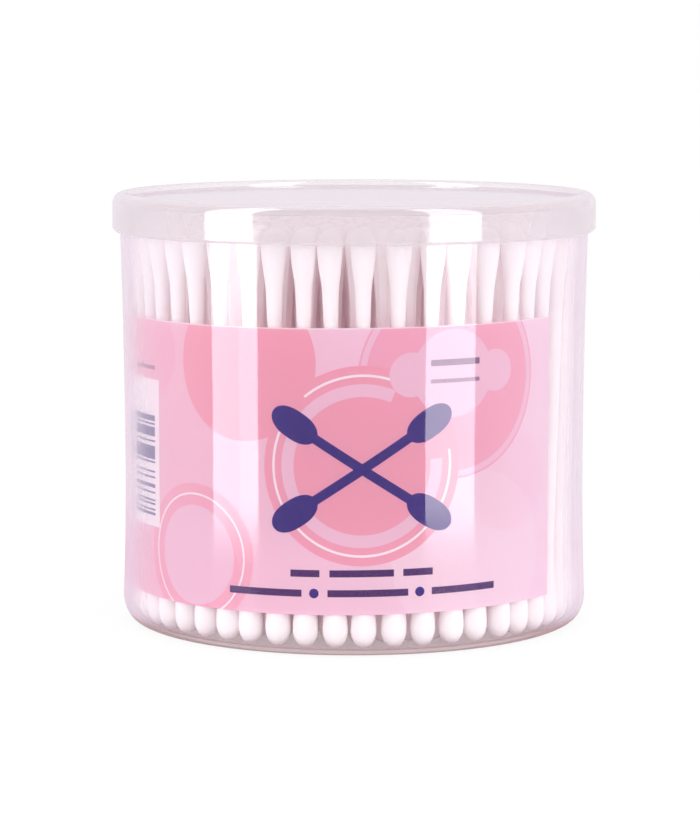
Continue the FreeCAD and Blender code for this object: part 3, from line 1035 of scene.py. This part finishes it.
@dataclass
class SwabPile:
    """The swabs: paper sticks with a wound cotton tip at each end, ring by ring."""

    stick_finish: PlainPaper
    cotton: WoundCotton
    head_radius: float = 2.2 * MM
    head_centre: float = 3.1 * MM
    bluntness: float = 0.85
    neck_radius: float = 1.38 * MM
    neck_height: float = 12.0 * MM
    cotton_length: float = 16.0 * MM
    cotton_film: float = 0.03 * MM
    cap: float = 1.5 * MM
    stick_radius: float = 1.25 * MM
    stick_flats: int = 12
    outer_stand: str = "ring_1"
    wobble: float = 0.04
    lump_scale: float = 260.0
    lump_room: float = 50.0
    seed: int = 7

    def tip_outline(self, detail: TipDetail) -> Outline:
        """Half section of a cotton tip, from its end to where the cotton stops.

        Args:
            detail: How finely it is divided.

        Returns:
            The outline, as radius and distance from the tip's end.
        """
        outline = []
        for step in range(detail.nose_steps + 1):
            angle = math.radians(90.0 * step / detail.nose_steps)
            outline.append((self.head_radius * math.sin(angle) ** self.bluntness,
                            self.head_centre * (1 - math.cos(angle))))
        for step in range(1, detail.taper_steps + 1):
            share = step / detail.taper_steps
            ease = share * share * (3 - 2 * share)
            radius = self.head_radius + (self.neck_radius - self.head_radius) * ease
            height = self.head_centre + (self.neck_height - self.head_centre) * share
            outline.append((radius, height))
        outline.append((self.stick_radius + self.cotton_film, self.cotton_length))
        return outline

    def master_tip(self, detail: TipDetail) -> bpy.types.Mesh:
        """Make one cotton tip with its end at the origin.

        Args:
            detail: How finely it is divided.

        Returns:
            The mesh to copy.
        """
        bm = turned(self.tip_outline(detail), detail.flats)
        rim = [edge for edge in bm.edges if edge.is_boundary]
        bmesh.ops.holes_fill(bm, edges=rim, sides=0)
        outwards = 2.0 / (1.0 + math.cos(math.pi / detail.flats))
        bmesh.ops.scale(bm, verts=bm.verts, vec=(outwards, outwards, 1.0))
        bmesh.ops.recalc_face_normals(bm, faces=bm.faces)
        mesh = bpy.data.meshes.new("cotton_tip_pattern")
        bm.to_mesh(mesh)
        bm.free()
        return mesh

    def add_tips(self, bm: bmesh.types.BMesh, pattern: bpy.types.Mesh, axes: list[SwabAxis],
                 upper: bool, draw: random.Random) -> None:
        """Copy the tip to one end of every swab, each a little different.

        Args:
            bm: Collects the ring's tips.
            pattern: The tip to copy.
            axes: Where the swabs stand.
            upper: Whether these are the upper tips.
            draw: Source of the small differences.
        """
        for axis in axes:
            end = axis.foot - axis.along * self.cap
            along = axis.along
            if upper:
                end = axis.foot + axis.along * (axis.stick + self.cap)
                along = -axis.along
            first = len(bm.verts)
            bm.from_mesh(pattern)
            bm.verts.ensure_lookup_table()
            verts = bm.verts[first:]
            offset = Vector([draw.uniform(0, self.lump_room) for _ in range(3)])
            swell = 1.0 + self.wobble * (draw.random() - 0.5)
            for vert in verts:
                if vert.co.z < self.cotton_length:
                    lump = noise.noise(vert.co * self.lump_scale + offset)
                    squeeze = swell * (1.0 + 0.5 * self.wobble * lump)
                    vert.co.x *= squeeze
                    vert.co.y *= squeeze
            turn = along.to_track_quat("Z", "Y").to_matrix().to_4x4()
            spin = Matrix.Rotation(draw.uniform(0, FULL_TURN), 4, "Z")
            bmesh.ops.transform(bm, matrix=Matrix.Translation(end) @ turn @ spin, verts=verts)

    def add_sticks(self, bm: bmesh.types.BMesh, axes: list[SwabAxis]) -> None:
        """Add a plain round stick for every swab of a ring.

        Args:
            bm: Collects the ring's sticks.
            axes: Where the swabs stand.
        """
        for axis in axes:
            turn = axis.along.to_track_quat("Z", "Y").to_matrix().to_4x4()
            middle = Matrix.Translation(axis.foot + axis.along * axis.stick / 2)
            bmesh.ops.create_cone(bm, cap_ends=True, cap_tris=False, segments=self.stick_flats,
                                  radius1=self.stick_radius, radius2=self.stick_radius,
                                  depth=axis.stick, matrix=middle @ turn)

    def build(self) -> None:
        """Make three pieces for each stand of swabs: sticks, lower tips and upper tips."""
        draw = random.Random(self.seed)
        front = self.master_tip(FRONT_ROW)
        inner = self.master_tip(INNER_ROWS)
        stick_paper = self.stick_finish.material()
        cotton = self.cotton.material()
        stands = [node[len("sticks_"):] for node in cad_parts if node.startswith("sticks_")]
        for stand in sorted(stands):
            axes = stick_axes(f"sticks_{stand}")
            pattern = front if stand == self.outer_stand else inner
            sticks = bmesh.new()
            self.add_sticks(sticks, axes)
            self.settle(sticks, f"paper_sticks_{stand}", stick_paper,
                        f"sticks_{stand}")
            for upper, word in ((False, "lower"), (True, "upper")):
                tips = bmesh.new()
                self.add_tips(tips, pattern, axes, upper, draw)
                self.settle(tips, f"{word}_cotton_{stand}", cotton,
                            f"{word}_tips_{stand}")
            log.info("%s: %d swabs", stand, len(axes))
        bpy.data.meshes.remove(front)
        bpy.data.meshes.remove(inner)

    def settle(self, bm: bmesh.types.BMesh, name: str, material: bpy.types.Material,
               node: str) -> None:
        """Finish one ring's piece and put it in its node's place.

        Args:
            bm: The piece's mesh.
            name: The piece's name.
            material: Its finish.
            node: The node that it stands for.
        """
        piece = link_mesh(bm, name)
        piece.data.materials.append(material)
        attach(piece, CUP_BODY)
        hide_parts(node)


@dataclass(frozen=True)
class StripLamp:
    """An upright softbox beside the object.

    Bearings are degrees from the camera's side, seen from the object and positive to the
    right; distance, bottom and top are in metres. No two lamps share a plane. A lamp that
    doesn't light the object only shows in its gloss.
    """

    name: str
    start: float
    end: float
    radiance: float
    distance: float
    lights_object: bool = True
    bottom: float = -0.35
    top: float = 1.15

    def build(self) -> None:
        """Stand the lamp up, facing the object."""
        half = math.radians(self.end - self.start) / 2
        height = self.top - self.bottom
        data = bpy.data.lights.new(self.name, "AREA")
        data.shape = "RECTANGLE"
        data.size = 2 * self.distance * math.tan(half)
        data.size_y = height
        data.energy = self.radiance * math.pi * data.size * data.size_y
        lamp = bpy.data.objects.new(self.name, data)
        bearing = math.radians(self.start) + half
        lamp.location = (self.distance * math.sin(bearing), -self.distance * math.cos(bearing),
                         self.bottom + height / 2)
        lamp.rotation_euler = (math.radians(90.0), 0.0, bearing)
        lamp.visible_diffuse = self.lights_object
        lamp.visible_transmission = self.lights_object
        bpy.context.scene.collection.objects.link(lamp)


@dataclass
class Studio:
    """Camera, floor and lamps of a plain product photograph."""

    camera_distance: float = 592.8 * MM
    camera_height: float = 110.8 * MM
    camera_side: float = -0.75 * MM
    pitch: float = 7.156
    lens: float = 138.1
    sky: float = 1.2
    dark_side: float = 0.15
    shadow_share: float = 0.12
    floor_glow: float = 0.45
    sensor: float = 36.0
    near_clip: float = 0.01
    dark_from: float = -0.85
    dark_to: float = 0.1
    floor_reach: float = 4.0
    floor_drop: float = 0.05 * MM
    floor_white: float = 0.9
    light_bounces: int = 36
    clear_bounces: int = 48
    lamps: tuple[StripLamp, ...] = (
        StripLamp("left_box", -71.5, -46.5, 1.2, 0.70),
        StripLamp("right_box", 34.0, 59.5, 1.2, 0.70),
        StripLamp("left_box_shine", -71.5, -46.5, 5.6, 0.64, lights_object=False),
        StripLamp("left_core_shine", -56.0, -46.5, 1.6, 0.58, lights_object=False),
        StripLamp("right_box_shine", 34.0, 59.5, 5.6, 0.64, lights_object=False),
    )

    def add_camera(self) -> None:
        """Stand the camera where the photograph was taken from."""
        data = bpy.data.cameras.new("camera")
        data.lens = self.lens
        data.sensor_width = self.sensor
        data.clip_start = self.near_clip
        camera = bpy.data.objects.new("camera", data)
        camera.location = (self.camera_side, -self.camera_distance, self.camera_height)
        camera.rotation_euler = (math.radians(90.0 - self.pitch), 0.0, 0.0)
        bpy.context.scene.collection.objects.link(camera)
        bpy.context.scene.camera = camera

    def add_floor(self) -> None:
        """Lay a wide white floor that keeps a faint shadow."""
        bm = bmesh.new()
        bmesh.ops.create_grid(bm, x_segments=1, y_segments=1, size=self.floor_reach)
        bmesh.ops.translate(bm, verts=bm.verts, vec=(0.0, 0.0, -self.floor_drop))
        floor = link_mesh(bm, "floor")
        bench = NodeBench("floor_white")
        white = bench.add("ShaderNodeBsdfDiffuse")
        white.inputs[0].default_value = (self.floor_white,) * 3 + (1.0,)
        glow = bench.add("ShaderNodeEmission")
        glow.inputs["Color"].default_value = PURE_WHITE
        glow.inputs["Strength"].default_value = 1.0
        rays = bench.add("ShaderNodeLightPath")
        seen = bench.math("MULTIPLY_ADD", rays.outputs["Is Camera Ray"],
                          1.0 - self.shadow_share - self.floor_glow, self.floor_glow)
        surface = bench.mix_shader(seen, white.outputs[0], glow.outputs[0])
        floor.data.materials.append(bench.finish(surface))
        floor.visible_glossy = False

    def add_sky(self) -> None:
        """Light the room evenly, white to the eye, and dark behind the camera in the gloss."""
        bench = NodeBench("studio", world=True)
        rays = bench.add("ShaderNodeLightPath")
        way = bench.add("ShaderNodeSeparateXYZ")
        bench.join(bench.add("ShaderNodeTexCoord").outputs["Generated"], way.inputs[0])
        room = bench.add("ShaderNodeMapRange", interpolation_type="SMOOTHSTEP")
        bench.join(way.outputs["Y"], room.inputs["Value"])
        room.inputs["From Min"].default_value = self.dark_from
        room.inputs["From Max"].default_value = self.dark_to
        room.inputs["To Min"].default_value = self.dark_side
        room.inputs["To Max"].default_value = 1.0
        gloss = bench.mix(rays.outputs["Is Glossy Ray"], self.sky, room.outputs[0], "FLOAT")
        seen = bench.mix(rays.outputs["Is Camera Ray"], gloss, 1.0, "FLOAT")
        light = bench.add("ShaderNodeBackground")
        light.inputs["Color"].default_value = PURE_WHITE
        bench.join(seen, light.inputs["Strength"])
        bpy.context.scene.world = bench.finish(light.outputs[0])

    def build(self) -> None:
        """Set the view up and add camera, floor and lamps."""
        scene = bpy.context.scene
        scene.view_settings.view_transform = "Standard"
        scene.cycles.transparent_max_bounces = self.clear_bounces
        scene.cycles.max_bounces = self.light_bounces
        scene.cycles.diffuse_bounces = self.light_bounces
        scene.cycles.transmission_bounces = self.light_bounces
        scene.cycles.glossy_bounces = self.light_bounces
        self.add_camera()
        self.add_floor()
        self.add_sky()
        for lamp in self.lamps:
            lamp.build()


# The clear plastic's foot haze carries a painted shade of the thick base, darker mauve near the
# floor.
CLEAR_PLASTIC = ThinPlastic("clear_polypropylene", haze=0.020, haze_build_up=2.9,
                            tint=(0.885, 0.838, 0.885), clear=(1.0, 0.997, 0.998),
                            gloss_roughness=0.04, frost_top=28.0 * MM, foot_haze_and_shade=0.45)
MILKY_PLASTIC = ThinPlastic("milky_polypropylene", haze=0.18, haze_build_up=1.5,
                            tint=(0.880, 0.858, 0.870), clear=(1.0, 0.995, 0.997),
                            gloss_roughness=0.07)


def main() -> None:
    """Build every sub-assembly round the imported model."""
    logging.basicConfig(level=logging.INFO, format="%(name)s: %(message)s")
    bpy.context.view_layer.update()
    Studio().build()
    log.info("cup: %s", Cup(CLEAR_PLASTIC).build().name)
    log.info("lid: %s", Lid(MILKY_PLASTIC).build().name)
    print_face = StripPrint("strip_print", "strip")
    paper_back = PlainPaper("strip_back", (0.985, 0.94, 0.96), 700.0, glow=0.4)
    log.info("strip: %s", Strip(print_face, paper_back).build().name)
    stick_paper = PlainPaper("rolled_paper", (1.0, 0.987, 0.990), 500.0, shade=0.993)
    SwabPile(stick_paper, WoundCotton("wound_cotton")).build()


if __name__ == "__main__":
    main()
